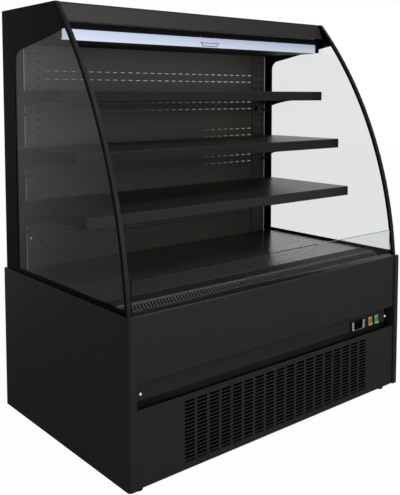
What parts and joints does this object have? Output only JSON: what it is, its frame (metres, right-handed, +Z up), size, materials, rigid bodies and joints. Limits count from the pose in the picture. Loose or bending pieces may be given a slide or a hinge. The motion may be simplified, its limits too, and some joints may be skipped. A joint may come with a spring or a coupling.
{
  "type": "open multideck display fridge",
  "caption": "Open-fronted chilled display case with a curved glazed end on each side, tilting shelves, lift-out deck, lit canopy, pull-down night blind and a louvred base.",
  "frame": {"origin": "on the floor, under the middle of the case", "axes": "+Z up, the open front faces -Y, +X to the right as a customer stands in front"},
  "size_m": [1.25, 0.78, 1.419],
  "materials": {
    "black_steel": "satin",
    "cored_panel": "satin",
    "well_liner": "matt",
    "zinc_sheet": "satin",
    "black_plastic": "matt",
    "grey_plastic": "satin",
    "dark_window": "gloss",
    "aluminium": "satin",
    "bright_steel": "polished",
    "clear_glass": "polished",
    "white_diffuser": "satin",
    "blind_cloth": "satin",
    "amber_plastic": "gloss",
    "green_plastic": "gloss"
  },
  "bodies": {
    "case": {"front_panel": "black_steel", "control_strip": "black_steel", "grille_panel": "black_steel", "return_grille": "black_steel", "riser_profile": "black_steel", "end_frame_left": "black_steel", "end_frame_right": "black_steel", "trim_left": "black_steel", "trim_right": "black_steel", "uprights": "black_steel", "inner_back_panel": "black_steel", "canopy_roof": "black_steel", "canopy_fascia": "black_steel", "canopy_underside": "black_steel", "canopy_cheeks": "black_steel", "lamp_housing": "black_steel", "compressor": "black_steel", "base_side_left": "cored_panel", "base_side_right": "cored_panel", "back_wall": "cored_panel", "insulated_well": "well_liner", "base_floor": "zinc_sheet", "rear_panel": "zinc_sheet", "condenser_fan_housing": "zinc_sheet", "evaporator_fan_housings": "zinc_sheet", "controller_body": "black_plastic", "switch_housings": "black_plastic", "electrical_box": "black_plastic", "power_inlet_gland": "black_plastic", "condenser_coil": "aluminium", "evaporator_coil": "aluminium", "screws": "bright_steel", "riser_glass": "clear_glass", "end_glasses": "clear_glass", "controller_display": "dark_window", "lamp_diffuser": "white_diffuser"},
    "shelf_1": {"shelf_board_1": "black_steel", "shelf_brackets_1": "black_steel"},
    "shelf_2": {"shelf_board_2": "black_steel", "shelf_brackets_2": "black_steel"},
    "shelf_3": {"shelf_board_3": "black_steel", "shelf_brackets_3": "black_steel"},
    "deck": {"deck_pan": "black_steel"},
    "blind_bar": {"blind_rail": "aluminium", "blind_handle": "bright_steel", "blind_sheet": "blind_cloth"},
    "blind_roller": {"blind_tube": "blind_cloth"},
    "amber_switch": {"rocker_amber": "amber_plastic"},
    "green_switch": {"rocker_green": "green_plastic"},
    "up_key": {"key_up": "grey_plastic"},
    "down_key": {"key_down": "grey_plastic"},
    "set_key": {"key_set": "grey_plastic"},
    "power_key": {"key_power": "grey_plastic"},
    "condenser_fan": {"condenser_fan_blades": "black_plastic"},
    "left_evaporator_fan": {"evaporator_fan_blades_left": "black_plastic"},
    "right_evaporator_fan": {"evaporator_fan_blades_right": "black_plastic"},
    "front_left_foot": {"foot_front_left": "black_plastic"},
    "front_right_foot": {"foot_front_right": "black_plastic"},
    "rear_left_foot": {"foot_rear_left": "black_plastic"},
    "rear_right_foot": {"foot_rear_right": "black_plastic"}
  },
  "joints": [
    {"name": "shelf_1_tilt", "type": "hinge", "parent": "case", "child": "shelf_1", "pos_m": [0, 0.29975, 1.1026], "axis": [-1, 0, 0], "range_deg": [0, 8]},
    {"name": "shelf_2_tilt", "type": "hinge", "parent": "case", "child": "shelf_2", "pos_m": [0, 0.29975, 0.931], "axis": [-1, 0, 0], "range_deg": [0, 8]},
    {"name": "shelf_3_tilt", "type": "hinge", "parent": "case", "child": "shelf_3", "pos_m": [0, 0.29975, 0.7308], "axis": [-1, 0, 0], "range_deg": [0, 8]},
    {"name": "deck_lift", "type": "slide", "parent": "case", "child": "deck", "axis": [0, 0, 1], "range_m": [0, 0.05]},
    {"name": "blind_pull", "type": "slide", "parent": "case", "child": "blind_bar", "axis": [0, -0.4392, -0.8984], "range_m": [0, 0.76], "stiffness_N_per_m": 8, "springref_m": -1.5, "deforming": ["blind_sheet"]},
    {"name": "blind_roll", "type": "hinge", "parent": "case", "child": "blind_roller", "pos_m": [0, 0.03691, 1.37352], "axis": [1, 0, 0], "range_deg": [0, 2700]},
    {"name": "amber_switch_rock", "type": "hinge", "parent": "case", "child": "amber_switch", "pos_m": [0.4761, -0.3665, 0.288], "axis": [1, 0, 0], "range_deg": [0, 14]},
    {"name": "green_switch_rock", "type": "hinge", "parent": "case", "child": "green_switch", "pos_m": [0.5135, -0.3665, 0.288], "axis": [1, 0, 0], "range_deg": [0, 14]},
    {"name": "up_key_press", "type": "slide", "parent": "case", "child": "up_key", "axis": [0, 1, 0], "range_m": [0, 0.0008], "stiffness_N_per_m": 300, "springref_m": -0.0005},
    {"name": "down_key_press", "type": "slide", "parent": "case", "child": "down_key", "axis": [0, 1, 0], "range_m": [0, 0.0008], "stiffness_N_per_m": 300, "springref_m": -0.0005},
    {"name": "set_key_press", "type": "slide", "parent": "case", "child": "set_key", "axis": [0, 1, 0], "range_m": [0, 0.0008], "stiffness_N_per_m": 300, "springref_m": -0.0005},
    {"name": "power_key_press", "type": "slide", "parent": "case", "child": "power_key", "axis": [0, 1, 0], "range_m": [0, 0.0008], "stiffness_N_per_m": 300, "springref_m": -0.0005},
    {"name": "condenser_fan_spin", "type": "hinge", "parent": "case", "child": "condenser_fan", "pos_m": [-0.23, -0.256, 0.141], "axis": [0, 1, 0], "continuous": true},
    {"name": "left_evaporator_fan_spin", "type": "hinge", "parent": "case", "child": "left_evaporator_fan", "pos_m": [-0.22, 0.019, 0.439], "axis": [0, 1, 0], "continuous": true},
    {"name": "right_evaporator_fan_spin", "type": "hinge", "parent": "case", "child": "right_evaporator_fan", "pos_m": [0.22, 0.019, 0.439], "axis": [0, 1, 0], "continuous": true},
    {"name": "front_left_foot_turn", "type": "hinge", "parent": "case", "child": "front_left_foot", "pos_m": [-0.568, -0.344, 0], "axis": [0, 0, 1], "continuous": true},
    {"name": "front_right_foot_turn", "type": "hinge", "parent": "case", "child": "front_right_foot", "pos_m": [0.568, -0.344, 0], "axis": [0, 0, 1], "continuous": true},
    {"name": "rear_left_foot_turn", "type": "hinge", "parent": "case", "child": "rear_left_foot", "pos_m": [-0.568, 0.326, 0], "axis": [0, 0, 1], "continuous": true},
    {"name": "rear_right_foot_turn", "type": "hinge", "parent": "case", "child": "rear_right_foot", "pos_m": [0.568, 0.326, 0], "axis": [0, 0, 1], "continuous": true}
  ],
  "couplings": [
    {"joint": "blind_roll", "follows": "blind_pull", "rad_per_m": 60.976}
  ]
}
